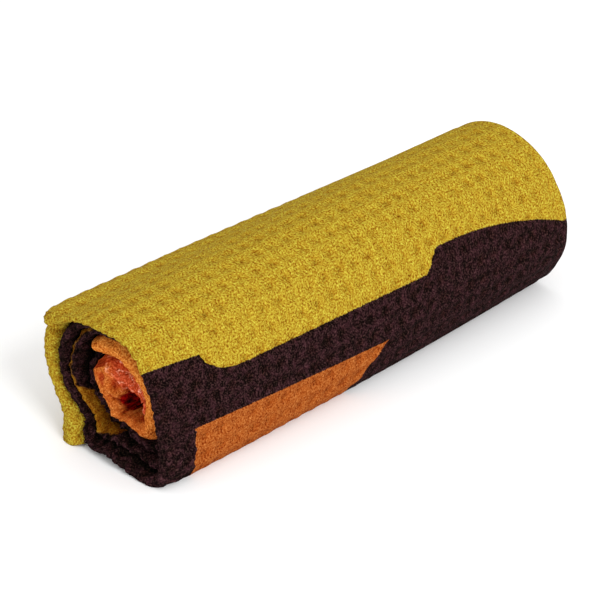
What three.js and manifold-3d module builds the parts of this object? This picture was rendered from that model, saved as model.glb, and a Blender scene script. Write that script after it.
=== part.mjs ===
// A quick dry towel: one sheet of waffle cloth, folded once along its length and rolled up from a short end.
// Millimetres, +Z up. The roll lies along X: the fold is at -X, and the long hems of its two plies meet at +X.
// The free end of the sheet hangs down the back of the roll, at +Y, and can be peeled away from it.
import * as THREE from "three";
import { mergeVertices } from "three/addons/utils/BufferGeometryUtils.js";
import Module from "manifold-3d";

const wasm = await Module();
wasm.setup();

// The roll's length, half of the towel's 500 mm, and its outline at each end. The fold end is squeezed smaller.
const ROLL_LENGTH = 250;
const OPEN_END = { width: 83, height: 75, shift: -2.5 };
const FOLD_END = { width: 78, height: 66, shift: 6 };

// The spiral, as angles in degrees: 0 is the back, 90 the top, 180 the front and 270 the underside.
const FREE_END = -48;
const TURN_COUNT = 5.9;
const CORE_END = FREE_END + 360 * TURN_COUNT;
const OUTER_RADIUS = 38.2; // to the middle of the folded sheet at its free end
const TURN_PITCH = 6.08;
const PRESSED = 0.92; // the underside's depth as a share of the radius
const FLAP_TOP = 45; // where the free end bends away from the roll
const STEP = 15;
const OVERSHOOT = 3; // how far a cut runs past the end of what it cuts

// The folded sheet and what is sewn to it, with offsets from the middle between its two plies
const SHEET = 5.7;
const PLY_SPACE = 1.2;
const FOLD_DEPTH = 3; // of the cloth where it turns round the fold
const HEM = { width: 8, thickness: 1.2, middle: 1.35 };
const THREAD = { width: 0.8, thickness: 0.45, inset: 5.5 };
const LABEL = { width: 24, length: 14, thickness: 0.4, angle: -20 };
const GAP = 0.35; // between pieces that touch each other

const FOLD_X = -ROLL_LENGTH / 2;
const OPEN_X = ROLL_LENGTH / 2;
const CLOTH_X = OPEN_X - HEM.width; // where the plies pass into their long hems

const COLOURS = { yellow: 0xc4a02d, aubergine: 0x32202a, orange: 0xd7782f, white: 0xe8e6e0 };

const radiusAt = (angle) => OUTER_RADIUS - (TURN_PITCH * (angle - FREE_END)) / 360;

// How many degrees of the spiral a length of sheet covers near an angle
const degreesFor = (length, angle) => (length / radiusAt(angle)) * THREE.MathUtils.RAD2DEG;

// The spiral's own size, from which it is stretched to the open end's outline
const FLOOR_DEPTH = PRESSED * (radiusAt(270 + STEP) + SHEET / 2);
const SPIRAL_WIDTH = radiusAt(0) + radiusAt(180) + SHEET;
const SPIRAL_HEIGHT = radiusAt(90) + SHEET / 2 + FLOOR_DEPTH;
const SPIRAL_SHIFT = (radiusAt(180) - radiusAt(0)) / 2; // centres the outline on Y

function sectionPoint(angle, offset) {
  const t = angle * THREE.MathUtils.DEG2RAD;
  const r = radiusAt(angle) + offset;
  const y = (r * Math.cos(t) + SPIRAL_SHIFT) * (OPEN_END.width / SPIRAL_WIDTH);
  const z = (r * Math.max(Math.sin(t), -PRESSED) + FLOOR_DEPTH) * (OPEN_END.height / SPIRAL_HEIGHT);
  return new THREE.Vector2(y, Math.max(z, 0));
}

// Angles along a stretch, at whole steps between its ends so that neighbouring turns have parallel facets
function anglesBetween(from, to) {
  const angles = [from];
  for (let a = Math.ceil((from + 1) / STEP) * STEP; a < to - 1; a += STEP) angles.push(a);
  return [...angles, to];
}

// Squeezes a shape made in the open end's outline into the roll's own outline at each place along X
function taper(geometry) {
  const p = geometry.getAttribute("position");
  for (let i = 0; i < p.count; i++) {
    const along = (p.getX(i) - FOLD_X) / ROLL_LENGTH;
    const width = THREE.MathUtils.lerp(FOLD_END.width, OPEN_END.width, along);
    const height = THREE.MathUtils.lerp(FOLD_END.height, OPEN_END.height, along);
    const shift = THREE.MathUtils.lerp(FOLD_END.shift, OPEN_END.shift, along);
    p.setY(i, p.getY(i) * (width / OPEN_END.width) + shift);
    p.setZ(i, p.getZ(i) * (height / OPEN_END.height));
  }
  return geometry;
}

// A band that follows the spiral between two angles, as wide as its stretch of X
function band({ from, to, offset = 0, thickness, x0, x1 }) {
  const angles = anglesBetween(from, to);
  const outer = angles.map((a) => sectionPoint(a, offset + thickness / 2));
  const inner = angles.map((a) => sectionPoint(a, offset - thickness / 2));
  const shape = new THREE.Shape([...outer, ...inner.reverse()]);
  const geometry = new THREE.ExtrudeGeometry(shape, { depth: x1 - x0, bevelEnabled: false });
  const alongX = new THREE.Matrix4().set(0, 0, 1, x0, 1, 0, 0, 0, 0, 1, 0, 0, 0, 0, 0, 1);
  return taper(geometry.applyMatrix4(alongX));
}

function toSolid(geometry) {
  geometry.deleteAttribute("normal");
  geometry.deleteAttribute("uv");
  const merged = mergeVertices(geometry, 1e-3);
  const vertProperties = merged.getAttribute("position").array;
  const triVerts = new Uint32Array(merged.getIndex().array);
  return new wasm.Manifold(new wasm.Mesh({ numProp: 3, vertProperties, triVerts }));
}

function toGeometry(solid) {
  const { vertProperties, triVerts } = solid.getMesh();
  const geometry = new THREE.BufferGeometry();
  geometry.setAttribute("position", new THREE.BufferAttribute(vertProperties, 3));
  geometry.setIndex(new THREE.BufferAttribute(triVerts, 1));
  geometry.computeVertexNormals();
  return geometry;
}

// Two plies joined by the fold at -X, with the space between them open at their other edges
function foldedSheet({ from, to, thickness }) {
  const whole = band({ from, to, thickness, x0: FOLD_X, x1: CLOTH_X });
  const space = band({
    from: from - OVERSHOOT,
    to: to + OVERSHOOT,
    thickness: PLY_SPACE,
    x0: FOLD_X + FOLD_DEPTH,
    x1: OPEN_X,
  });
  return toGeometry(toSolid(whole).subtract(toSolid(space)));
}

// Thread lies on the cloth's right side, which faces out on both plies. A side is 1 for the outer ply.
const threadOffset = (side) => side * (HEM.middle + HEM.thickness / 2 + GAP + THREAD.thickness / 2);

const longHem = ({ from, to, side }) =>
  band({ from, to, offset: side * HEM.middle, thickness: HEM.thickness, x0: CLOTH_X + GAP, x1: OPEN_X });

function longThread({ from, to, side }) {
  const x0 = OPEN_X - THREAD.inset - THREAD.width / 2;
  const x1 = x0 + THREAD.width;
  return band({ from, to, offset: threadOffset(side), thickness: THREAD.thickness, x0, x1 });
}

const middleOf = ({ from, to }) => (from + to) / 2;

// A short hem is folded with the sheet, so it has two plies too.
const shortHem = ({ from, to }) => foldedSheet({ from, to, thickness: 2 * HEM.middle + HEM.thickness });

function shortThread(hem) {
  const middle = middleOf(hem);
  const half = degreesFor(THREAD.width, middle) / 2;
  return band({
    from: middle - half,
    to: middle + half,
    offset: threadOffset(1),
    thickness: THREAD.thickness,
    x0: FOLD_X + FOLD_DEPTH,
    x1: CLOTH_X - GAP,
  });
}

// The care label is blank, and is held between the two long hems.
function careLabel() {
  const half = degreesFor(LABEL.width, LABEL.angle) / 2;
  return band({
    from: LABEL.angle - half,
    to: LABEL.angle + half,
    thickness: LABEL.thickness,
    x0: OPEN_X - LABEL.length,
    x1: OPEN_X,
  });
}

const towel = new THREE.Group();

function addPiece(name, geometry, color) {
  const material = new THREE.MeshStandardMaterial({ color, roughness: 0.95, metalness: 0 });
  const mesh = new THREE.Mesh(geometry, material);
  mesh.name = name;
  towel.add(mesh);
}

// The sheet's stretches: the free end's hem and flap, the rolled cloth, and the hem at the core.
const cut = FLAP_TOP + degreesFor(GAP, FLAP_TOP);
const freeHem = { from: FREE_END, to: FREE_END + degreesFor(HEM.width, FREE_END) };
const coreHem = { from: CORE_END - degreesFor(HEM.width, CORE_END), to: CORE_END };
const flapCloth = { from: freeHem.to + degreesFor(GAP, freeHem.to), to: FLAP_TOP, thickness: SHEET };
const rolledCloth = { from: cut, to: coreHem.from - degreesFor(GAP, coreHem.from), thickness: SHEET };

addPiece("rolled_cloth", foldedSheet(rolledCloth), COLOURS.aubergine);
addPiece("flap_cloth", foldedSheet(flapCloth), COLOURS.yellow);
addPiece("flap_end_hem", shortHem(freeHem), COLOURS.yellow);
addPiece("flap_end_hem_thread", shortThread(freeHem), COLOURS.yellow);
addPiece("core_end_hem", shortHem(coreHem), COLOURS.orange);
addPiece("core_end_hem_thread", shortThread(coreHem), COLOURS.orange);

// The long hems run to the sheet's corners, and their threads stop at the threads of the short hems.
for (const [ply, side] of Object.entries({ outer_ply: 1, inner_ply: -1 })) {
  const flap = { from: FREE_END, to: FLAP_TOP, side };
  const roll = { from: cut, to: CORE_END, side };
  const flapSeam = { ...flap, from: middleOf(freeHem) };
  const rollSeam = { ...roll, to: middleOf(coreHem) };
  addPiece(`${ply}_long_hem`, longHem(roll), COLOURS.aubergine);
  addPiece(`${ply}_long_hem_thread`, longThread(rollSeam), COLOURS.aubergine);
  addPiece(`flap_${ply}_long_hem`, longHem(flap), COLOURS.yellow);
  addPiece(`flap_${ply}_long_hem_thread`, longThread(flapSeam), COLOURS.yellow);
}

addPiece("care_label", careLabel(), COLOURS.white);

export default towel;
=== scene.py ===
"""A quick dry towel: waffle microfibre, folded once along its length, rolled up and lying on a pale floor.

The cloth is one closed mesh that follows the roll's spiral: the right side of both plies, the fold that joins
them at the near end, and the wrong sides in between. Lengths are in millimetres until a mesh is written.
"""

import bpy
import numpy as np
from mathutils import Matrix, Vector


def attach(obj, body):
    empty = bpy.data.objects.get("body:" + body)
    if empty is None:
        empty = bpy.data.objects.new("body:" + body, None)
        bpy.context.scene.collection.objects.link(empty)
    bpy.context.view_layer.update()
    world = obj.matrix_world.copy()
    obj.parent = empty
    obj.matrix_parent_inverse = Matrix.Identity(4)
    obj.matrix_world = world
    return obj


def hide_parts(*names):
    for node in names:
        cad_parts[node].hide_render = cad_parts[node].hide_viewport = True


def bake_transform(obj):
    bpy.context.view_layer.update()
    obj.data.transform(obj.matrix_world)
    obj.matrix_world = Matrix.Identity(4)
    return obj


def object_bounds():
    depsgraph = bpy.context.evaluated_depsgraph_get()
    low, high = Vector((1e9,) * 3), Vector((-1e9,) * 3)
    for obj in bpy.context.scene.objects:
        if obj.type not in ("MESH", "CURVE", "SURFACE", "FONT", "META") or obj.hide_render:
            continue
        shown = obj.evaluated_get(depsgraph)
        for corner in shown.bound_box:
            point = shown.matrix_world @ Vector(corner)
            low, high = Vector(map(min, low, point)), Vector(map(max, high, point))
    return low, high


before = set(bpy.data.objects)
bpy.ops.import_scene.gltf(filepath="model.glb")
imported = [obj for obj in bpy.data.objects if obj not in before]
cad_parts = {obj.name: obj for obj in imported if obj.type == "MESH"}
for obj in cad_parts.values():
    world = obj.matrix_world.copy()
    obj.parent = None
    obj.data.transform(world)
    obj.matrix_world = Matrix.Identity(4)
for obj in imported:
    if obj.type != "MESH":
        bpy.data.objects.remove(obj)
cad_low, cad_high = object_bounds()
MM = 0.001

# ---------------------------------------------------------------- the roll's outlines
X_NEAR, X_FAR = cad_low.x / MM, cad_high.x / MM
WIDTH = X_FAR - X_NEAR  # of the folded sheet

# Angles are in degrees: 0 is the back, 90 the top, 180 the front and 270 the underside. They count on from
# turn to turn, and a place on the spiral is also given in turns from the sheet's free end.
FREE_END = -48.0
TURNS = 4.75

# The outline round the middle of the winding, as (angle, radius): at the near end with the flap that the free
# end forms and without it, and at the far end
NEAR_MIDDLE = (4, 29)
NEAR_FRONT = (
    (130, 35.5), (150, 34.5), (165, 34.5), (180, 35.5), (198, 38), (212, 43), (222, 44.7), (232, 39),
    (245, 31.5), (258, 27.3), (270, 26.8), (283, 28),
)
NEAR_OUTLINE = (
    (0, 41.5), (15, 44), (28, 47), (35, 49), (42, 43.2), (50, 38.8), (60, 37.2), (75, 36.5), (90, 36.3),
    (110, 36), *NEAR_FRONT, (292, 31), (302, 40), (309, 44.8), (316, 40.6), (325, 37.2), (335, 36.5),
    (348, 39.3),
)
NEAR_BODY = (
    (12, 34), (24, 34.5), (37, 35.6), (47, 36), (60, 34.8), (75, 33.6), (90, 33.2), (110, 34.5), *NEAR_FRONT,
    (292, 30), (297, 29.5), (302, 27.5), (311, 24), (321, 25), (335, 28), (347, 31.2), (358, 33),
)
FAR_MIDDLE = (-2, 35)
FAR_OUTLINE = (
    (0, 39.5), (45, 40.5), (90, 40.5), (120, 39.5), (150, 38.5), (175, 40.5), (195, 42.5), (210, 42.5),
    (225, 43.5), (240, 39), (255, 36), (270, 35), (285, 36), (300, 38), (315, 40), (335, 39.5),
)
SOFTENING = 7  # degrees each way over which an outline's corners are rounded
MIDDLE_BULGE = 1.5  # of the radius, half way along the roll
FLAP_TURNS = 0.5  # where the flap's outline has joined the body's

# Share of the outline's radius that is left after so many turns. At the near end the core is crushed towards
# the front and the ring round it is plump, and at the far end the turns are even.
NEAR_SHARE = (
    (0, 1), (1.3, 1), (1.55, 0.92), (1.7, 0.85), (1.8, 0.81), (1.88, 0.82), (1.95, 0.87), (2.4, 0.87),
    (2.6, 0.81), (2.75, 0.71), (2.86, 0.69), (2.95, 0.75), (3.1, 0.75), (3.2, 0.73), (3.24, 0.72),
    (3.3, 0.74), (3.38, 0.76), (3.5, 0.72), (3.65, 0.68), (3.8, 0.52), (4.0, 0.48), (4.1, 0.52),
    (4.16, 0.58), (4.2, 0.60), (4.26, 0.49), (4.32, 0.42), (4.38, 0.40), (4.5, 0.32), (4.6, 0.34),
    (4.75, 0.29), (4.86, 0.13), (5.75, 0.10),
)
FAR_SHARE = ((0, 1), (4, 0.42), (4.75, 0.26), (5.75, 0.03))
HOLLOW = (-5, -6)  # the hollow in the core, from the middle of the winding
HOLLOW_TURNS = (4.65, 4.9)  # over which the winding's middle moves there
NEAR_SHAPE = 0.4  # share of the length over which the near end's own shape fades
FLAP_SLANT = 17.0  # degrees by which the flap's inner ply is longer, so that its end lies flat on the floor
SLANT_TURNS = 0.15  # over which the slant fades

# How far each turn's fold is drawn in from the near end, as (turns, distance)
NEAR_EDGE = (
    (0, -4.5), (0.05, -1), (0.1, 1), (0.2, 2), (0.214, 2), (0.228, -1.5), (0.245, 0), (0.29, 0.5), (0.34, -1),
    (0.5, -1), (0.6, -2), (0.7, -1.5), (0.75, 0), (0.79, -2.5), (0.92, -3), (0.99, 0), (1.05, 2), (1.5, 4),
    (1.75, 3), (1.9, 3), (2.0, 5), (2.2, 6), (2.4, 6), (2.7, 8), (3.0, 9), (3.1, 10), (3.21, 13), (3.27, 5.5),
    (3.6, 7), (3.9, 7), (4.05, 7), (4.18, 5), (4.3, 9), (4.5, 10), (4.75, 13),
)
SCALLOP = 0.3  # how far the waffle's cells push the fold in and out
FAR_MARGIN = 1.5  # from the far end to the outer turn's edge
FAR_SLIP = ((0, 0), (1, 0), (5.6, 6))  # how far the core has slid out at the far end, as (turns, distance)
INNER_PLY_SHORT = 1.4  # how much less the inner ply reaches

# ---------------------------------------------------------------- the cloth
PLY = 1.8
CELL_ROUND, CELL_ALONG = 7.9, 8.9  # a waffle cell, round the roll and along it
RELIEF = 0.8
FOLD_RELIEF = 0.8  # share of the relief that covered turns have near the fold
HEM = 8.0
HEM_EXTRA = 0.5  # how much thicker the folded hem is
HEM_FLATNESS = 0.8  # share of the relief that a hem loses
SEAM_INSET = 5.5  # from an edge to its line of stitches
SEAM_DEPTH = 0.35  # how far the stitches pull the cloth down
SEAM_REACH = 1.5  # over how far the pull and the hem's flatness fade
BAND_FILL = 0.94  # share of a turn's band that the cloth fills
GAP_DEPTH = 14.0  # how far from the fold the turns have closed up
END_ROUNDING, END_REACH = 0.15, 2.0  # how much thinner the sheet gets at its two ends, and over how far

# By turns: how much less of its band the cloth fills at the fold, how deep the fold's round nose is at most,
# and how much the cloth is crumpled there
FOLD_GAP = (
    (0.65, 0.14), (0.78, 0.28), (0.95, 0.28), (1.1, 0.14), (1.65, 0.14), (1.8, 0.3), (1.93, 0.3), (2.1, 0.14),
)
FOLD_DEPTH = ((0, 3.5), (0.1, 4), (0.2, 5), (0.3, 6.5))
CRUMPLE = (
    (0.6, 0), (0.72, 0.8), (0.95, 0.7), (1.1, 0.1), (1.6, 1.5), (1.9, 1.2), (1.98, 0.5), (2.6, 1.7),
    (3.15, 1.7), (3.25, 0.3), (3.8, 0.4), (4.0, 1.4), (4.75, 1.6),
)
ROUGHNESS = 0.22  # of the crumples' own surface

# The crease where the free end has slid out from under the turn above it
CREASE_ANGLE = 30.0
CREASE_DEPTH = 2.2
CREASE_WIDTH = 1.7

# Painted shade where neighbouring turns cover the cloth: how much, how far from the fold it starts, and over
# which turns of each ply
GAP_SHADE = 1.2
GAP_SHADE_FROM = 4.5
GAP_SHADE_OUTER = 1.45
GAP_SHADE_INNER = (0.5, 3.8)


def smooth(t):
    """A soft step from 0 to 1."""
    t = np.clip(t, 0, 1)
    return t * t * (3 - 2 * t)


def faded(distance, start, stop):
    """1 up to a distance, and 0 past another."""
    return smooth((stop - distance) / (stop - start))


def along_table(value, table):
    """The height of the broken line through a table's points."""
    return np.interp(value, *zip(*table))


def mixed(a, b, share):
    return a + (b - a) * share


def waves(at, *terms):
    """A sum of sines, each given by its height, its wavelength over two pi, and its phase."""
    return sum(height * np.sin(at / length + phase) for height, length, phase in terms)


def round_outline(pairs):
    """A closed smooth curve through (angle, radius) pairs, as a function of the angle in degrees."""
    angles, radii = np.array(pairs, float).T
    degrees = np.arange(0, 360, 1.0)
    rough = np.interp(degrees, angles, radii, period=360)
    kernel = np.hanning(2 * SOFTENING + 1)
    padded = np.concatenate([rough[-SOFTENING:], rough, rough[:SOFTENING]])
    soft = np.convolve(padded, kernel / kernel.sum(), mode="valid")
    return lambda angle: np.interp(angle, degrees, soft, period=360)


near_radius = round_outline(NEAR_OUTLINE)
body_radius = round_outline(NEAR_BODY)
far_radius = round_outline(FAR_OUTLINE)


def turns_at(angle):
    return (angle - FREE_END) / 360


def share_along(x):
    return (x - X_NEAR) / WIDTH


def evenness(x):
    """0 at the near end, and 1 where its own shape has faded."""
    return smooth(share_along(x) / NEAR_SHAPE)


def boundary(angle, x):
    """The outer surface of the turn at an angle, as Y and Z."""
    turns = turns_at(angle)
    u = share_along(x)
    even = evenness(x)
    bulge = MIDDLE_BULGE * np.sin(np.pi * np.clip(u, 0, 1))
    outline = mixed(near_radius(angle), far_radius(angle), u) + bulge
    body = np.where(turns < FLAP_TURNS, 1, body_radius(angle) / near_radius(angle))
    near = body * along_table(turns, NEAR_SHARE)
    far = along_table(turns, FAR_SHARE) / along_table(np.mod(turns, 1), FAR_SHARE)
    radius = outline * mixed(near, np.where(turns < 1, 1, far), even)
    inner = smooth((turns - HOLLOW_TURNS[0]) / (HOLLOW_TURNS[1] - HOLLOW_TURNS[0])) * (1 - even)
    t = np.radians(angle)
    y = mixed(NEAR_MIDDLE[0], FAR_MIDDLE[0], u) + HOLLOW[0] * inner + radius * np.cos(t)
    z = mixed(NEAR_MIDDLE[1], FAR_MIDDLE[1], u) + HOLLOW[1] * inner + radius * np.sin(t)
    return np.stack([y, z], axis=-1)


def band(angle, x):
    """The band that a turn of the folded sheet fills: its middle, the way out from it, and half its
    thickness."""
    angle, x = np.broadcast_arrays(angle, x)
    outer = boundary(angle, x)
    slant = FLAP_SLANT * (1 - evenness(x)) * (1 - smooth(turns_at(angle) / SLANT_TURNS))
    inner = boundary(angle + 360 - slant, x)
    across = outer - inner
    thickness = np.linalg.norm(across, axis=-1)
    return (outer + inner) / 2, across / thickness[..., None], thickness / 2


def place(angle, x, outward):
    """A point some millimetres out from the middle of the band."""
    angle, x, outward = np.broadcast_arrays(angle, x, outward)
    middle, out, _ = band(angle, x)
    point = middle + out * outward[..., None]
    return np.concatenate([x[..., None], point], axis=-1)


# Length along the spiral, half way along the roll
SPINE_STEPS = 4000
spine_angles = np.linspace(FREE_END, FREE_END + 360 * TURNS, SPINE_STEPS)
spine_steps = np.diff(place(spine_angles, 0.0, 0.0), axis=0)
spine_lengths = np.concatenate([[0], np.cumsum(np.linalg.norm(spine_steps, axis=1))])
LENGTH = spine_lengths[-1]


def angle_at(length):
    return np.interp(length, spine_lengths, spine_angles)


def length_at(angle):
    return np.interp(angle, spine_angles, spine_lengths)


def turns_length(turns):
    return float(length_at(FREE_END + 360 * turns))


# From here on, s is a length from the free end and v a length from the fold, below 0 on the inner ply. A side
# is 1 for the outer ply and -1 for the inner one.
def end_distance(s):
    return np.minimum(s, LENGTH - s)


def near_edge(angle):
    """Where along X the fold of a turn is: the inner turns are drawn in, and none is quite straight."""
    turns = turns_at(angle)
    s = length_at(angle)
    wobble = waves(s, (0.5, 7.7, 0), (0.4, 4.3, 1), (0.6, 21.0, 2)) * smooth(turns * 4)
    cell = 2 * np.pi * s / CELL_ROUND
    return X_NEAR + along_table(turns, NEAR_EDGE) + wobble + SCALLOP * (np.cos(cell) + np.cos(2 * cell + 0.7))


def far_edge(angle, side):
    """Where along X a ply ends."""
    slip = along_table(turns_at(angle), FAR_SLIP)
    wobble = waves(length_at(angle), (0.8, 23.0, side), (0.5, 11.0, 2 * side))
    return X_FAR - FAR_MARGIN + slip + wobble - INNER_PLY_SHORT * (1 - side) / 2


def drifted(s, v):
    """The weave's own coordinates, which wander a little as the cloth is pulled about."""
    across = s + waves(v, (0.7, 21.0, 0), (0.35, 8.1, 1))
    along = v + waves(s, (0.7, 19.0, 2), (0.35, 7.3, 0))
    return across, along


def waffle(s, v):
    """Height of the waffle's relief: sunken square cells between soft ridges."""
    s, v = drifted(s, v)
    du = np.abs(np.mod(s / CELL_ROUND, 1) - 0.5) * 2
    dv = np.abs(np.mod(v / CELL_ALONG, 1) - 0.5) * 2
    square = (du**3 + 0.6 * dv**3) ** (1 / 3)
    return smooth(np.minimum(square, 1)) - 0.6


def crumple(s, v):
    """How far the cloth near the fold is pushed about: soft swells with sharper creases between them."""
    turns = turns_at(angle_at(s))
    bend = 1.4 * np.sin(v / 3.7 + s / 11.0)
    swell = np.sin(s / 1.7 + bend) + 0.6 * np.sin(s / 3.1 - v / 2.2) + 0.4 * np.sin(v / 1.7 + s / 5.3 + 2)
    folds = along_table(turns, CRUMPLE) * (0.5 - np.abs(swell) * 0.8) * faded(np.abs(v), 10.8, 19.8)
    rough = ROUGHNESS * np.sin(s * 2.03) * np.sin(v * 2.2 + s) * faded(np.abs(v), 8, 16)
    from_crease = (s - length_at(CREASE_ANGLE)) / CREASE_WIDTH
    crease = CREASE_DEPTH * np.exp(-(from_crease**2)) * faded(np.abs(v), 8, 18)
    return folds + rough - crease


def painted_gap_shade(s, v):
    """Painted shade: how far the cloth counts as sunken, on top of its crumples, where a neighbouring turn
    covers it.
    """
    turns = turns_at(angle_at(s))
    inner_covered = (turns > GAP_SHADE_INNER[0]) & (turns < GAP_SHADE_INNER[1])
    covered = np.where(v > 0, turns > GAP_SHADE_OUTER, inner_covered)
    return GAP_SHADE * covered * smooth((np.abs(v) - GAP_SHADE_FROM) / 3) * faded(np.abs(v), 20, 30)


def cloth_half(angle, x):
    """From the middle of the folded sheet to the right side of each ply, before the waffle's relief."""
    to_end = np.clip(1 - end_distance(length_at(angle)) / END_REACH, 0, 1)
    gap = along_table(turns_at(angle), FOLD_GAP) * (1 - smooth((x - near_edge(angle)) / GAP_DEPTH))
    return band(angle, x)[2] * (BAND_FILL - gap) * (1 - END_ROUNDING * to_end**2)


def fold_size(angle):
    """Where the fold is along X, half its thickness, how deep its round nose is, and the length of cloth in
    each half of it."""
    fold_x = near_edge(angle)
    half = cloth_half(angle, fold_x)
    depth = np.minimum(1.15 * half, along_table(turns_at(angle), FOLD_DEPTH))
    return fold_x, half, depth, 0.25 * np.pi * (half + depth)


def right_side(angle, x, side):
    """How far the right side of a ply is from the middle of the band."""
    s = length_at(angle)
    fold_x, _, depth, quarter = fold_size(angle)
    start, stop = fold_x + depth, far_edge(angle, side)
    to_edge = np.minimum(stop - x, end_distance(s))
    flatness = 1 - HEM_FLATNESS * smooth((HEM - to_edge) / SEAM_REACH)
    seam = SEAM_DEPTH * smooth(1 - np.abs(to_edge - SEAM_INSET) / SEAM_REACH)
    shown = np.where(np.asarray(side) > 0, 1 - smooth((turns_at(angle) - 1.0) * 12), 0)
    relief = RELIEF * np.maximum(shown, FOLD_RELIEF * faded(x - start, 4.8, 12.8))
    v = quarter + x - start
    return cloth_half(angle, x) + relief * flatness * waffle(s, v) + crumple(s, side * v) - seam


# ---------------------------------------------------------------- meshes
def new_piece(name, points, faces, material):
    """A smooth mesh in the scene, from points in millimetres."""
    mesh = bpy.data.meshes.new(name)
    mesh.from_pydata((np.asarray(points) * MM).tolist(), [], faces)
    mesh.update()
    mesh.materials.append(material)
    mesh.polygons.foreach_set("use_smooth", np.ones(len(mesh.polygons), dtype=bool))
    piece = bpy.data.objects.new(name, mesh)
    bpy.context.scene.collection.objects.link(piece)
    return piece


def add_uv(mesh, name, across, along):
    """A UV map from two values at each vertex."""
    layer = mesh.uv_layers.new(name=name)
    loops = np.empty(len(mesh.loops), dtype=np.int32)
    mesh.loops.foreach_get("vertex_index", loops)
    layer.data.foreach_set("uv", np.stack([across[loops], along[loops]], axis=1).ravel())


class Station:
    """One line of vertices that runs the length of the sheet, on its right side or its wrong side: across the
    fold at an angle psi, or on a ply at a share q of the way from the fold to the far edge."""

    def __init__(self, right, side, q=None, psi=None):
        self.right, self.side, self.q, self.psi = right, side, q, psi

    def points(self, angle):
        """The places of the line's vertices, and how far each is from the free end and from the fold. On the
        wrong side the distance from the fold goes on from the right side's, round the hem."""
        return self.on_ply(angle) if self.psi is None else self.on_fold(angle)

    def on_fold(self, angle):
        s = length_at(angle)
        fold_x, half, depth, quarter = fold_size(angle)
        v = quarter * self.psi / (0.5 * np.pi)
        if self.right:
            rise = RELIEF * waffle(s, v) + crumple(s, v)
        else:
            rise = -np.minimum(PLY, 0.8 * half)
            v = v + np.copysign(2 * WIDTH, v)
        x = fold_x + depth - (depth + rise) * np.cos(self.psi)
        return place(angle, x, (half + rise) * np.sin(self.psi)), s, v

    def on_ply(self, angle):
        fold_x, _, depth, quarter = fold_size(angle)
        start, stop = fold_x + depth, far_edge(angle, self.side)
        x = start + (stop - start) * self.q
        v = quarter + x - start
        if self.right:
            out = right_side(angle, x, self.side)
        else:
            hem = HEM_EXTRA * smooth((HEM - (stop - x)) / 1.0)
            here = cloth_half(angle, x)
            out = here - np.minimum(PLY + hem, 0.85 * here)
            v = 2 * (quarter + stop - start) + PLY - v
        return place(angle, x, self.side * out), length_at(angle), self.side * v


# Where the stations are on a ply, from the fold and from the far edge
FROM_FOLD = (0, 1.6, 3.2, 4.8, 6.4, 8, 10, 12.5, 15.5, 19, 23, 28, 36, 48)
FROM_HEM = (0, 0.6, 2, 3.5, 5.5, 7, 8.5, 10.5, 14, 20, 30, 45)
WRONG_FROM_FOLD = (0, 3.2, 8, 15.5, 36)
WRONG_FROM_HEM = (0, 0.6, 3.5, 8.5, 20, 45)
MIDDLE_STEPS, WRONG_MIDDLE_STEPS = 8, 2
FOLD_STEPS = 9

# The turn that shows has more stations on its outer ply, and rings of vertices that are closer together.
FINE_TURNS = 1.02
FINE_STEP = 1.3
FINE_RING, COARSE_RING = 1.3, 1.7


def straight_shares(from_fold, from_hem, middle):
    """Shares of the way from the fold to the far edge, close together near both ends."""
    near = np.array(from_fold) / WIDTH
    far = 1 - np.array(from_hem)[::-1] / WIDTH
    return np.concatenate([near, np.linspace(near[-1], far[0], middle + 1)[1:-1], far])


def refined(shares):
    """The same shares with more between them, and where the given ones are in the new list."""
    new, index = [shares[0]], [0]
    for a, b in zip(shares[:-1], shares[1:]):
        parts = max(1, int(round((b - a) * WIDTH / FINE_STEP)))
        new += list(a + (b - a) * np.arange(1, parts + 1) / parts)
        index.append(len(new) - 1)
    return np.array(new), index


def ring_stations(fine):
    """The sheet's section: its right side from the outer ply's far edge round the fold to the inner ply's far
    edge, then its wrong side back. Also which right side stations a coarse section keeps, and which ones the
    wrong side's stations face."""
    coarse = straight_shares(FROM_FOLD, FROM_HEM, MIDDLE_STEPS)
    wrong_shares = straight_shares(WRONG_FROM_FOLD, WRONG_FROM_HEM, WRONG_MIDDLE_STEPS)
    match = [int(np.argmin(np.abs(coarse - q))) for q in wrong_shares]
    wrong_shares = coarse[match]
    shares, index = refined(coarse) if fine else (coarse, list(range(len(coarse))))
    psis = np.linspace(0.5 * np.pi, -0.5 * np.pi, 2 * FOLD_STEPS + 1)[1:-1]

    right = [Station(True, 1, q=q) for q in shares[::-1]]
    keep = [len(shares) - 1 - i for i in index][::-1]
    faced = [keep[len(coarse) - 1 - m] for m in match][::-1]
    count = len(right)
    right += [Station(True, 1, psi=p) for p in psis]
    keep += list(range(count, count + len(psis)))
    faced += list(range(count, count + len(psis)))[::2]
    count = len(right)
    right += [Station(True, -1, q=q) for q in coarse]
    keep += list(range(count, count + len(coarse)))
    faced += [count + m for m in match]

    wrong = [Station(False, -1, q=q) for q in wrong_shares[::-1]]
    wrong += [Station(False, -1, psi=p) for p in psis[::-1][::2]]
    wrong += [Station(False, 1, q=q) for q in wrong_shares]
    return right, wrong, keep, faced


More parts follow.
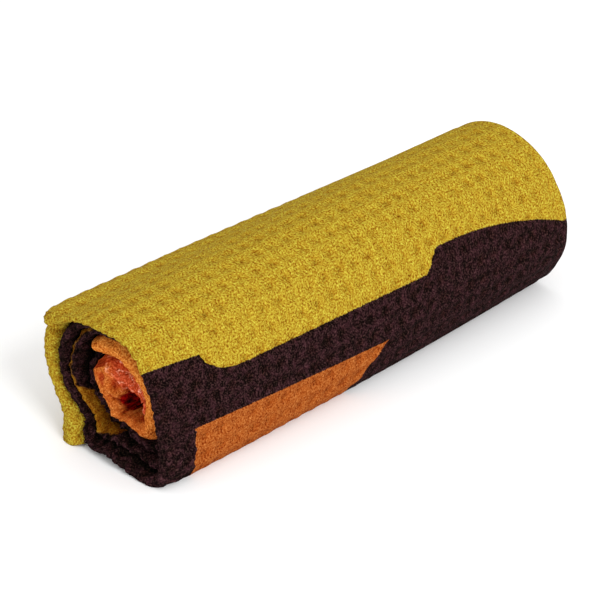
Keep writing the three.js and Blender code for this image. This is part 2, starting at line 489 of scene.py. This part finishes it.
class Stretch:
    """A stretch of the sheet, with a ring of vertices round its section at each of some lengths."""

    def __init__(self, lengths, fine, first):
        self.angles, self.first = angle_at(lengths), first
        self.right, self.wrong, self.keep, self.faced = ring_stations(fine)
        self.around = len(self.right) + len(self.wrong)

    def vertices(self):
        """The vertices' places, how far each is from the free end and from the fold, and its angle."""
        lines = [station.points(self.angles) for station in self.right + self.wrong]
        points, s, v = (np.stack(parts, axis=1) for parts in zip(*lines))
        return points.reshape(-1, 3), s.ravel(), v.ravel(), np.repeat(self.angles, self.around)

    def ring(self, index):
        """A ring's first vertex. An index below 0 counts back from the last ring."""
        return self.first + (index % len(self.angles)) * self.around

    def sides(self):
        """The faces between neighbouring rings."""
        low = self.first + np.arange(len(self.angles) - 1)[:, None] * self.around
        high = low + self.around
        j = np.arange(self.around)[None, :]
        k = (j + 1) % self.around
        return np.stack([low + j, low + k, high + k, high + j], axis=-1).reshape(-1, 4).tolist()

    def cap(self, index, reverse):
        """The faces that close a cut end, from the right side to the wrong side."""
        start = self.ring(index)
        wrong = list(range(self.around - 1, len(self.right) - 1, -1))
        faces = []
        for a, b, c, d in zip(self.faced[:-1], self.faced[1:], wrong[:-1], wrong[1:]):
            face = [start + i for i in range(a, b + 1)] + [start + d, start + c]
            faces.append(face[::-1] if reverse else face)
        return faces


def faces_between(fine, coarse):
    """The faces from the fine stretch's last ring to the coarse stretch's first, which has fewer stations."""
    last, first = fine.ring(-1), coarse.ring(0)
    kept = fine.keep + list(range(len(fine.right), fine.around))
    faces = []
    for j in range(coarse.around):
        k = (j + 1) % coarse.around
        a, b = kept[j], kept[k]
        edge = range(a, b + 1) if b > a else (a, b)
        faces.append([last + i for i in edge] + [first + k, first + j])
    return faces


def build_cloth(name, material):
    """The whole sheet, and the angle along the spiral of each of its vertices."""
    join = turns_length(1) * FINE_TURNS
    fine_lengths = np.linspace(0, join, int(join / FINE_RING))
    coarse_lengths = np.linspace(join, LENGTH, int((LENGTH - join) / COARSE_RING))[1:]
    fine = Stretch(fine_lengths, True, 0)
    coarse = Stretch(coarse_lengths, False, len(fine_lengths) * fine.around)
    points, s, v, arc = (np.concatenate(parts) for parts in zip(fine.vertices(), coarse.vertices()))
    points[:, 2] = np.maximum(points[:, 2], 0.0)
    faces = fine.sides() + coarse.sides() + faces_between(fine, coarse)
    faces += fine.cap(0, True) + coarse.cap(-1, False)

    piece = new_piece(name, points, faces, material)
    add_uv(piece.data, "cloth", s * MM, v * MM)
    # Painted shade and light for the material: darker where the cloth sinks between turns and into its
    # crumples' creases, lighter on their crests
    painted_shade_depth = piece.data.attributes.new("painted_shade_depth", "FLOAT", "POINT")
    painted_shade_depth.data.foreach_set("value", (painted_gap_shade(s, v) - crumple(s, v)).astype(np.float32))
    across, along = drifted(s, v)
    add_uv(piece.data, "weave", across / CELL_ROUND, along / CELL_ALONG)
    return piece, arc


# ---------------------------------------------------------------- materials
def linear(red, green, blue):
    """A colour given as it looks on a screen, 0 to 255, as the shaders want it."""
    parts = np.array([red, green, blue]) / 255
    return (*np.where(parts > 0.04045, ((parts + 0.055) / 1.055) ** 2.4, parts / 12.92).tolist(), 1)


YELLOW = linear(158, 129, 33)
DARK = linear(33, 15, 18)
ORANGE = linear(150, 77, 28)
RING_ORANGE = linear(206, 118, 44)
# the core's own orange, which is also painted shade on the ring's lower part
CORE_AND_RING_SHADE_ORANGE = linear(192, 100, 38)
GOLD = linear(132, 84, 14)
RED = linear(196, 76, 40)
PALE_RED = linear(232, 150, 118)
# painted shade in the core's creases
SHADED_CREASE_RED = linear(182, 74, 32)
# the hollow's deep red, darkened with painted shade
HOLLOW_SHADE_RED = linear(118, 4, 2)
WHITE_SATIN = linear(232, 229, 222)
GREY_SATIN = linear(196, 192, 184)

# How light falls on the pile: the painted shade in a pucker's recess, the pale colour mixed in where the
# speckle is lightest, and what bright cloth adds to the powers by which red, green and blue darken
# painted shade in each pucker's recess
PUCKER_SHADE_TINT = (0.93, 0.7, 0.4, 1)
PALE_SPECK = (0.8, 0.6, 0.35, 1)
SHADE_POWERS = (-0.2, 0.5, 1.3)

# Scales of the noises and bands, per metre
PILE_SCALE = 1200
FRAY_SCALE = 1100
RAGGED_SCALE = 420
PATCH_SCALE = 330
UNEVEN_SCALE = 60
THREAD_TWIST_SCALE = 420
RIBBON_SCALE = 2500
RIB_SCALE = 900
FRAY = 1.1  # how far the pile blurs the print's edges


class Shader:
    """Short names for the nodes of one material."""

    def __init__(self, name):
        self.material = bpy.data.materials.new(name)
        self.material.use_nodes = True
        self.tree = self.material.node_tree
        self.surface = self.tree.nodes["Principled BSDF"]

    def node(self, kind, **settings):
        made = self.tree.nodes.new(kind)
        for key, value in settings.items():
            setattr(made, key, value)
        return made

    def join(self, value, socket):
        """Links an output to a socket, or sets the socket to a number or colour."""
        if isinstance(value, bpy.types.NodeSocket):
            self.tree.links.new(value, socket)
        else:
            socket.default_value = value

    def math(self, operation, *values, clamp=False):
        made = self.node("ShaderNodeMath", operation=operation, use_clamp=clamp)
        for value, socket in zip(values, made.inputs):
            self.join(value, socket)
        return made.outputs[0]

    def both(self, a, b):
        return self.math("MULTIPLY", a, b)

    def uv(self, name):
        """The two coordinates of a UV map."""
        split = self.node("ShaderNodeSeparateXYZ")
        self.join(self.node("ShaderNodeUVMap", uv_map=name).outputs[0], split.inputs[0])
        return split.outputs[0], split.outputs[1]

    def attribute(self, name):
        return self.node("ShaderNodeAttribute", attribute_name=name).outputs["Fac"]

    def noise(self, vector, scale, detail=2.0, roughness=0.5):
        made = self.node("ShaderNodeTexNoise")
        self.join(vector, made.inputs["Vector"])
        self.join(scale, made.inputs["Scale"])
        self.join(detail, made.inputs["Detail"])
        self.join(roughness, made.inputs["Roughness"])
        return made.outputs["Fac"]

    def bands(self, vector, scale, direction):
        made = self.node("ShaderNodeTexWave", wave_type="BANDS", bands_direction=direction)
        self.join(vector, made.inputs["Vector"])
        self.join(scale, made.inputs["Scale"])
        return made.outputs["Fac"]

    def mix(self, share, a, b, blend="MIX"):
        made = self.node("ShaderNodeMix", data_type="RGBA", blend_type=blend)
        self.join(share, made.inputs["Factor"])
        self.join(a, made.inputs["A"])
        self.join(b, made.inputs["B"])
        return made.outputs["Result"]

    def lit(self, colour, *channels):
        """A colour times a light of its own for red, green and blue."""
        light = self.node("ShaderNodeCombineXYZ")
        for value, socket in zip(channels, light.inputs):
            self.join(value, socket)
        return self.mix(1.0, colour, light.outputs[0], blend="MULTIPLY")

    def curve(self, value, points):
        """A broken line through (value, height) points."""
        starts, heights = zip(*points)
        reach = starts[-1] - starts[0]
        low, high = min(heights), max(heights)
        made = self.node("ShaderNodeValToRGB")
        ramp = made.color_ramp
        while len(ramp.elements) > 1:
            ramp.elements.remove(ramp.elements[-1])
        for i, (start, height) in enumerate(points):
            share = (start - starts[0]) / reach
            element = ramp.elements[0] if i == 0 else ramp.elements.new(share)
            element.position = share
            grey = (height - low) / (high - low)
            element.color = (grey, grey, grey, 1)
        along = self.math("DIVIDE", self.math("SUBTRACT", value, starts[0]), reach, clamp=True)
        self.join(along, made.inputs[0])
        return self.math("MULTIPLY_ADD", made.outputs[0], high - low, low)

    def past(self, value, edge, soft=0.4):
        """1 where a value is past an edge and 0 before it, over a soft stretch."""
        distance = self.math("SUBTRACT", value, edge)
        return self.math("MULTIPLY_ADD", distance, 1 / soft, 0.5, clamp=True)

    def bump(self, height, distance, strength=1.0):
        """Raises the surface by a height, without moving its mesh."""
        made = self.node("ShaderNodeBump")
        self.join(strength, made.inputs["Strength"])
        self.join(distance, made.inputs["Distance"])
        self.join(height, made.inputs["Height"])
        self.join(made.outputs[0], self.surface.inputs["Normal"])


def evenly(start, reach, parts):
    """Evenly spaced values from a start, over a reach."""
    return np.linspace(start, start + reach, parts + 1)


# The print on the outer turn, in millimetres of cloth. Its edges are set out by lengths from the free end,
# which change with v, the length from the fold.
FIRST_SLOPE, SECOND_SLOPE = (124.0, 0.12), (137.5, 0.02)  # a length at the fold, and how it grows with v
FIRST_STEP = (28.5, 20.0)  # where the yellow's edge steps out along a quarter of an ellipse, and over how far
SECOND_STEP = (156.0, 11.0)  # where it steps back, and over how far
BOW_START = 132.0  # the length that it bows out from, past the second step
SWEEP = 21.0  # how flat the bow is
BOW = (180, 70)  # where the bow's own points start, and over how far they go


def yellow_edge(v):
    """The yellow's edge: a slope, a rounded step out, a flatter slope, a soft step back, and a bow."""
    near = FIRST_SLOPE[0] + FIRST_SLOPE[1] * v
    middle = SECOND_SLOPE[0] + SECOND_SLOPE[1] * v
    start, reach = SECOND_STEP
    far = BOW_START + (max(v - start - reach, 0) / SWEEP) ** 2
    to_go = 1 - np.clip((v - FIRST_STEP[0]) / FIRST_STEP[1], 0, 1)
    return mixed(mixed(near, middle, np.sqrt(1 - to_go**2)), far, smooth((v - start) / reach))


YELLOW_PLACES = np.concatenate([[0.0], evenly(*FIRST_STEP, 8), evenly(*SECOND_STEP, 6), evenly(*BOW, 7)])
YELLOW_EDGE = [(v, yellow_edge(v)) for v in YELLOW_PLACES]

# The orange panel: its edge by the fold, its top edge, its bottom, and its slanted far end, which bends
PANEL_LEFT = 18.0
PANEL_CORNER = (130, 160)  # where the top edge meets the slanted end, from the fold and from the free end
PANEL_TOP = ((PANEL_LEFT, 156), PANEL_CORNER)
PANEL_BOTTOM = 206.0
PANEL_SLANT = 106  # how far from the fold the slanted end is past its bend
PANEL_BEND = 35.0
PANEL_SIDE = [
    (PANEL_CORNER[1] + PANEL_BEND * share, mixed(PANEL_SLANT, PANEL_CORNER[0], (1 - share) ** 2))
    for share in evenly(0, 1, 6)
]

# The print on the inner turns, of which the fold shows, by turns. The gold stretch lies between a crest and a
# limit, and the hollow, whose deep red is darkened with painted shade, is inside its edge, all three as
# (turns, length from the fold).
GOLD_TURNS = (1.885, 2.3)
GOLD_CREST = ((2.03, -14), (2.1, -0.5), (2.2, 0.8))
GOLD_LIMIT = ((1.885, -6), (1.92, -3), (1.96, 0.5), (2.02, 9))
ORANGE_TURN = 3.225
# where the darker orange starts: painted shade on the ring's lower part, then the core's own colour
DARKER_ORANGE_TURN = 3.7
RED_TURN = 4.27
HOLLOW_EDGE = ((3.85, -30), (3.95, -9), (4.0, -6), (4.15, -7), (4.3, -12), (4.75, -4))


def in_turns(points):
    """Points given at so many turns, as points given at lengths from the free end."""
    return [(turns_length(turns), height) for turns, height in points]


def outer_print(shader, s, v):
    """The outer turn: yellow, and dark with an orange panel."""
    ground = shader.mix(shader.past(s, shader.curve(v, YELLOW_EDGE)), YELLOW, DARK)
    panel = shader.both(shader.past(s, shader.curve(v, PANEL_TOP)), shader.past(v, PANEL_LEFT))
    panel = shader.both(panel, shader.past(shader.curve(s, PANEL_SIDE), v))
    panel = shader.both(panel, shader.past(PANEL_BOTTOM, s))
    return shader.mix(panel, ground, ORANGE)


def gold_share(shader, s, v):
    """Where the gold stretch is."""
    start, stop = (turns_length(turns) for turns in GOLD_TURNS)
    gold = shader.both(shader.past(s, start), shader.past(stop, s))
    gold = shader.both(gold, shader.past(v, shader.curve(s, in_turns(GOLD_CREST)), 1.5))
    return shader.both(gold, shader.past(shader.curve(s, in_turns(GOLD_LIMIT)), v, 1.5))


def core_print(shader, s, place_on):
    """The ring and the core: orange; a darker orange, painted shade on the ring's tucked-under lower part and
    the core's own colour past it; painted shade in red in the creases; and at the end a speckled red.
    """
    # the darker orange begins on the ring's tucked-under lower part as painted shade
    core = shader.mix(shader.past(s, turns_length(DARKER_ORANGE_TURN), 12.0), RING_ORANGE, CORE_AND_RING_SHADE_ORANGE)
    # painted shade in red where the cloth sinks into its creases
    shaded_crease = shader.math("MULTIPLY_ADD", shader.attribute("painted_shade_depth"), 1.4, -0.5, clamp=True)
    core = shader.mix(shaded_crease, core, SHADED_CREASE_RED)
    speck = shader.math("MULTIPLY_ADD", shader.noise(place_on, RAGGED_SCALE), 9.0, -4.9, clamp=True)
    speckled = shader.mix(speck, RED, PALE_RED)
    return shader.mix(shader.past(s, turns_length(RED_TURN), 5.0), core, speckled)


def printed_colour(shader):
    """The print's colour at a place of the cloth, with painted shade in the hollow and the core, and the
    place itself.
    """
    place_on = shader.node("ShaderNodeUVMap", uv_map="cloth").outputs[0]
    s, v = (shader.math("MULTIPLY", part, 1 / MM) for part in shader.uv("cloth"))
    fray = shader.math("SUBTRACT", shader.noise(place_on, FRAY_SCALE), 0.5)
    s, v = (shader.math("MULTIPLY_ADD", fray, FRAY, part) for part in (s, v))

    colour = shader.mix(gold_share(shader, s, v), outer_print(shader, s, v), GOLD)
    colour = shader.mix(shader.past(s, turns_length(ORANGE_TURN)), colour, core_print(shader, s, place_on))
    # the hollow: its own deep red, with painted shade
    hollow = shader.past(shader.curve(s, in_turns(HOLLOW_EDGE)), v, 2.5)
    hollow = shader.both(hollow, shader.past(s, turns_length(HOLLOW_EDGE[0][0])))
    return shader.mix(hollow, colour, HOLLOW_SHADE_RED), place_on


def puckers(shader, place_on, lift):
    """Where the weave puckers: ragged and uneven, once a cell, with pulled threads round each."""
    ragged = shader.math("SUBTRACT", shader.noise(place_on, RAGGED_SCALE), 0.5)
    across, along = shader.uv("weave")
    a = shader.math("SUBTRACT", shader.math("FRACT", shader.math("MULTIPLY_ADD", ragged, 0.5, across)), 0.5)
    b = shader.math("SUBTRACT", shader.math("FRACT", shader.math("MULTIPLY_ADD", lift, -0.6, along)), 0.5)
    away = shader.math("SQRT", shader.math("ADD", shader.both(a, a), shader.both(b, b)))
    near = shader.math("SUBTRACT", 1.0, shader.math("MULTIPLY", away, 2.4), clamp=True)
    spoke = shader.math("COSINE", shader.math("MULTIPLY", shader.math("ARCTAN2", a, b), 6.0))
    pucker = shader.both(near, shader.math("MULTIPLY_ADD", spoke, 0.25, 0.75))
    strength = shader.math("MULTIPLY_ADD", shader.noise(place_on, UNEVEN_SCALE), 3.0, -0.8, clamp=True)
    return shader.both(pucker, strength)


def piled(shader, colour, place_on, lift, pucker):
    """A colour as the pile shows it: fine speckle, and softer patches where the pile lies one way or the
    other, both stronger on dark cloth; painted shade in the puckers of dark cloth and in the dips, and
    painted light on the crests."""
    to_grey = shader.node("ShaderNodeRGBToBW")
    shader.join(colour, to_grey.inputs[0])
    luminance = to_grey.outputs[0]
    warmth = shader.math("MULTIPLY", luminance, 8.0, clamp=True)
    contrast = shader.math("SUBTRACT", 2.6, shader.math("MULTIPLY", luminance, 17.0))
    contrast = shader.math("MAXIMUM", contrast, 1.0)
    speckle = shader.math("MULTIPLY_ADD", lift, shader.math("MULTIPLY", contrast, 3.3), 1.0)

    patch = shader.math("SUBTRACT", shader.noise(place_on, PATCH_SCALE, 3.0, 0.6), 0.5)
    patch = shader.both(patch, shader.math("MULTIPLY_ADD", warmth, -6.7, 7.5))
    # painted shade in the puckers of dark cloth
    patch = shader.math("ADD", patch, shader.both(pucker, shader.math("MULTIPLY_ADD", warmth, 0.8, -0.8)))
    light = shader.math("MAXIMUM", shader.math("ADD", speckle, patch), 0.2)

    # painted shade where the cloth sinks, and painted light where it rises
    sunken = shader.both(shader.attribute("painted_shade_depth"), shader.math("MULTIPLY_ADD", warmth, 0.9, -1.1))
    light = shader.both(light, shader.math("MAXIMUM", shader.math("ADD", sunken, 1.0), 0.12))
    powers = [shader.math("MULTIPLY_ADD", warmth, extra, 1.0) for extra in SHADE_POWERS]
    return shader.lit(colour, *(shader.math("POWER", light, power) for power in powers))


def printed_cloth():
    """Short piled waffle cloth, printed in flat blocks of colour on its right side."""
    shader = Shader("printed_waffle_cloth")
    colour, place_on = printed_colour(shader)
    pile = shader.noise(place_on, PILE_SCALE, 2.0, 0.65)
    lift = shader.math("SUBTRACT", pile, 0.5)
    pucker = puckers(shader, place_on, lift)
    # painted shade, warmer and darker, in each pucker's recess
    colour = shader.mix(pucker, colour, shader.mix(1.0, colour, PUCKER_SHADE_TINT, blend="MULTIPLY"))
    colour = piled(shader, colour, place_on, lift, pucker)
    # a pale colour mixed in where the speckle is lightest
    colour = shader.mix(shader.math("MULTIPLY", lift, 0.12, clamp=True), colour, PALE_SPECK)
    shader.join(colour, shader.surface.inputs["Base Color"])
    shader.bump(shader.math("MULTIPLY_ADD", pucker, -1.2, pile), 0.0006, 0.8)
    shader.join(shader.math("MULTIPLY_ADD", pile, 0.2, 0.78), shader.surface.inputs["Roughness"])
    shader.surface.inputs["Specular IOR Level"].default_value = 0.02
    return shader.material


def sewing_thread():
    """Twisted polyester thread, which took the print with the cloth."""
    shader = Shader("sewing_thread")
    colour, place_on = printed_colour(shader)
    twist = shader.bands(place_on, THREAD_TWIST_SCALE, "DIAGONAL")
    light = shader.math("MULTIPLY_ADD", twist, 0.5, 0.9)
    shader.join(shader.lit(colour, light, light, light), shader.surface.inputs["Base Color"])
    shader.bump(twist, 0.0002)
    shader.surface.inputs["Roughness"].default_value = 0.6
    shader.surface.inputs["Specular IOR Level"].default_value = 0.1
    return shader.material


def label_cloth():
    """Blank white satin ribbon with fine ribs."""
    shader = Shader("label_cloth")
    place_on = shader.node("ShaderNodeTexCoord").outputs["Object"]
    ribs = shader.bands(place_on, RIB_SCALE, "X")
    weave = shader.math("MULTIPLY_ADD", shader.noise(place_on, RIBBON_SCALE), 0.5, ribs)
    tone = shader.math("MULTIPLY_ADD", weave, 0.12, 0.0, clamp=True)
    shader.join(shader.mix(tone, WHITE_SATIN, GREY_SATIN), shader.surface.inputs["Base Color"])
    shader.bump(weave, 0.0001)
    shader.surface.inputs["Roughness"].default_value = 0.4
    shader.surface.inputs["Sheen Weight"].default_value = 0.2
    return shader.material


# ---------------------------------------------------------------- stitches
STITCH = 2.5
STITCH_PITCH = 3.5
THREAD_RADIUS = 0.28
THREAD_SIDES = 6

# Along a stitch: share of its length, and its thickness and height as shares of the thread's radius
STITCH_RINGS = (
    (0, 0.35, -0.7), (0.1, 0.85, -0.1), (0.35, 1, 0.35), (0.65, 1, 0.35), (0.9, 0.85, -0.1), (1, 0.35, -0.7),
)
STITCH_POINTS = len(STITCH_RINGS) * THREAD_SIDES


def stitch_faces(count):
    """The faces of so many stitches, each a closed tube."""
    faces = []
    for first in range(0, count * STITCH_POINTS, STITCH_POINTS):
        last = first + STITCH_POINTS - THREAD_SIDES
        for low in range(first, last, THREAD_SIDES):
            for i in range(THREAD_SIDES):
                j = (i + 1) % THREAD_SIDES
                faces.append((low + i, low + THREAD_SIDES + i, low + THREAD_SIDES + j, low + j))
        faces.append(tuple(range(first, first + THREAD_SIDES)))
        faces.append(tuple(reversed(range(last, last + THREAD_SIDES))))
    return faces


def stitches(name, s, x, side, runs_along_x, material):
    """Rows of stitches on the right side of the cloth, and the angle of each of their vertices. Each stitch
    starts at a length from the free end and a place along X, and they all run along X or along the sheet."""
    s, x, side = (np.asarray(part, float)[:, None] for part in (s, x, side))
    share, thickness, rise = np.array(STITCH_RINGS).T
    here_s = s + (0 if runs_along_x else STITCH * share)
    here_x = x + (STITCH * share if runs_along_x else 0 * share)
    angle = angle_at(here_s)
    centres = place(angle, here_x, side * (right_side(angle, here_x, side) + THREAD_RADIUS * rise))
    outward = side[..., None] * band(angle, here_x)[1]
    outward = np.concatenate([np.zeros(outward.shape[:2] + (1,)), outward], axis=-1)
    forward = centres[:, -1:] - centres[:, :1]
    forward /= np.linalg.norm(forward, axis=-1, keepdims=True)
    sideways = np.cross(forward, outward)
    around = np.arange(THREAD_SIDES)[:, None] * 2 * np.pi / THREAD_SIDES
    ring = np.cos(around) * outward[:, :, None] + np.sin(around) * sideways[:, :, None]
    points = centres[:, :, None] + ring * (THREAD_RADIUS * thickness)[:, None, None]
    points[..., 2] = np.maximum(points[..., 2], 0.0)

    piece = new_piece(name, points.reshape(-1, 3), stitch_faces(len(s)), material)
    from_free_end = np.repeat(s, STITCH_POINTS)
    from_fold = np.repeat(side * (x - X_NEAR), STITCH_POINTS)
    add_uv(piece.data, "cloth", from_free_end * MM, from_fold * MM)
    return piece, angle_at(from_free_end)


def long_hem_stitches(name, side, material):
    """The stitches of one ply's long hem, from one short hem's stitches to the other's."""
    s = np.arange(SEAM_INSET + 1, LENGTH - SEAM_INSET - STITCH, STITCH_PITCH)
    return stitches(name, s, far_edge(angle_at(s), side) - SEAM_INSET, np.full(len(s), side), False, material)


def short_hem_stitches(name, s, material):
    """The stitches across both plies of a short hem."""
    angle = angle_at(s)
    fold_x, _, depth, _ = fold_size(angle)
    x = np.arange(fold_x + depth + 1, far_edge(angle, -1) - SEAM_INSET - STITCH, STITCH_PITCH)
    both_x, both_sides = np.concatenate([x, x]), np.repeat([1, -1], len(x))
    return stitches(name, np.full(2 * len(x), s), both_x, both_sides, True, material)[0]


# ---------------------------------------------------------------- the label
LABEL_ANGLE = -20.0
LABEL_WIDTH = 24.0
LABEL_ROOT, LABEL_TIP = 13.0, 3.5  # from the roll's far end, inwards and outwards
LABEL_HALF = 0.32  # of the folded ribbon's thickness
LABEL_NOSE = 0.5  # how far its own fold sticks out
LABEL_WAVE = 0.25


def care_label(material):
    """A blank ribbon, folded once, held between the two long hems near the free end's corner."""
    middle_s = float(length_at(LABEL_ANGLE))
    lengths = middle_s + np.linspace(-LABEL_WIDTH / 2, LABEL_WIDTH / 2, 17)
    straight = np.linspace(X_FAR - LABEL_ROOT, X_FAR + LABEL_TIP, 11)
    nose = np.linspace(0.5 * np.pi, -0.5 * np.pi, 7)[1:-1]
    section = [(x, LABEL_HALF) for x in straight]
    section += [(X_FAR + LABEL_TIP + LABEL_NOSE * np.cos(a), LABEL_HALF * np.sin(a)) for a in nose]
    section += [(x, -LABEL_HALF) for x in straight[::-1]]
    count = len(section)
    points, faces = [], []
    for s in lengths:
        for x, out in section:
            wave = LABEL_WAVE * np.sin((s - middle_s) / 4.0) * smooth((x - X_FAR + 4) / 6)
            points.append(place(float(angle_at(s)), x, out + wave))
    last = (len(lengths) - 1) * count
    for low in range(0, last, count):
        high = low + count
        for j in range(count):
            k = (j + 1) % count
            faces.append((low + j, low + k, high + k, high + j))
    faces.append(tuple(reversed(range(count))))
    faces.append(tuple(range(last, last + count)))
    return new_piece("care_label_ribbon", points, faces, material)


# ---------------------------------------------------------------- the towel
cloth, cloth_arc = build_cloth("towel_cloth", printed_cloth())
thread_material = sewing_thread()
outer_thread, outer_arc = long_hem_stitches("outer_ply_hem_stitches", 1, thread_material)
inner_thread, inner_arc = long_hem_stitches("inner_ply_hem_stitches", -1, thread_material)
free_thread = short_hem_stitches("free_end_hem_stitches", SEAM_INSET, thread_material)
core_thread = short_hem_stitches("core_end_hem_stitches", LENGTH - SEAM_INSET, thread_material)
label = care_label(label_cloth())


def bend_with_free_end(piece):
    """Bakes the piece's place into its mesh, which stays where it was built."""
    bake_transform(piece)


bend_with_free_end(cloth)
bend_with_free_end(outer_thread)
bend_with_free_end(inner_thread)
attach(free_thread, "free_end")
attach(core_thread, "roll")
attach(label, "free_end")

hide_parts("rolled_cloth", "flap_cloth", "flap_end_hem", "core_end_hem", "outer_ply_long_hem",
            "inner_ply_long_hem", "flap_outer_ply_long_hem", "flap_inner_ply_long_hem")
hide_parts("outer_ply_long_hem_thread", "flap_outer_ply_long_hem_thread")
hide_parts("inner_ply_long_hem_thread", "flap_inner_ply_long_hem_thread")
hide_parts("flap_end_hem_thread")
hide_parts("core_end_hem_thread")
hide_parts("care_label")

# ---------------------------------------------------------------- floor
FLOOR_GREY = (0.9, 0.9, 0.9, 1)

bpy.ops.mesh.primitive_plane_add(size=4, location=(0, 0, 0))
floor = bpy.context.object
floor.name = "floor"
floor_shader = Shader("floor")
floor_shader.surface.inputs["Base Color"].default_value = FLOOR_GREY
floor_shader.surface.inputs["Roughness"].default_value = 0.9
floor.data.materials.append(floor_shader.material)

# ---------------------------------------------------------------- light and camera, in metres
CAMERA_PLACE = (-0.6008, -0.5672, 0.4861)
CAMERA_AZIMUTH, CAMERA_ELEVATION = np.radians(-46), np.radians(29)

world = bpy.data.worlds.new("studio")
world.use_nodes = True
world.node_tree.nodes["Background"].inputs[0].default_value = (1, 1, 1, 1)
world.node_tree.nodes["Background"].inputs[1].default_value = 1.0
bpy.context.scene.world = world
bpy.context.scene.view_settings.view_transform = "Standard"


def area_light(name, place_at, size, power):
    """A soft square light that shines at the towel."""
    light = bpy.data.lights.new(name, "AREA")
    light.size = size
    light.energy = power
    lamp = bpy.data.objects.new(name, light)
    lamp.location = place_at
    lamp.rotation_euler = (-Vector(place_at)).to_track_quat("-Z", "Y").to_euler()
    bpy.context.scene.collection.objects.link(lamp)


area_light("key", (-0.4, -1.8, 1.3), 1.0, 34)
area_light("side", (-1.3, 0.2, 0.7), 0.8, 1.5)

camera = bpy.data.cameras.new("camera")
camera.lens = 126
camera.sensor_width = 36
camera.clip_end = 20
camera_object = bpy.data.objects.new("camera", camera)
bpy.context.scene.collection.objects.link(camera_object)
right = Vector((np.cos(CAMERA_AZIMUTH), np.sin(CAMERA_AZIMUTH), 0))
back = Vector((
    np.sin(CAMERA_AZIMUTH) * np.cos(CAMERA_ELEVATION),
    -np.cos(CAMERA_AZIMUTH) * np.cos(CAMERA_ELEVATION),
    np.sin(CAMERA_ELEVATION),
))
turned = Matrix((right, back.cross(right), back)).transposed().to_4x4()
camera_object.matrix_world = Matrix.Translation(Vector(CAMERA_PLACE)) @ turned
bpy.context.scene.camera = camera_object
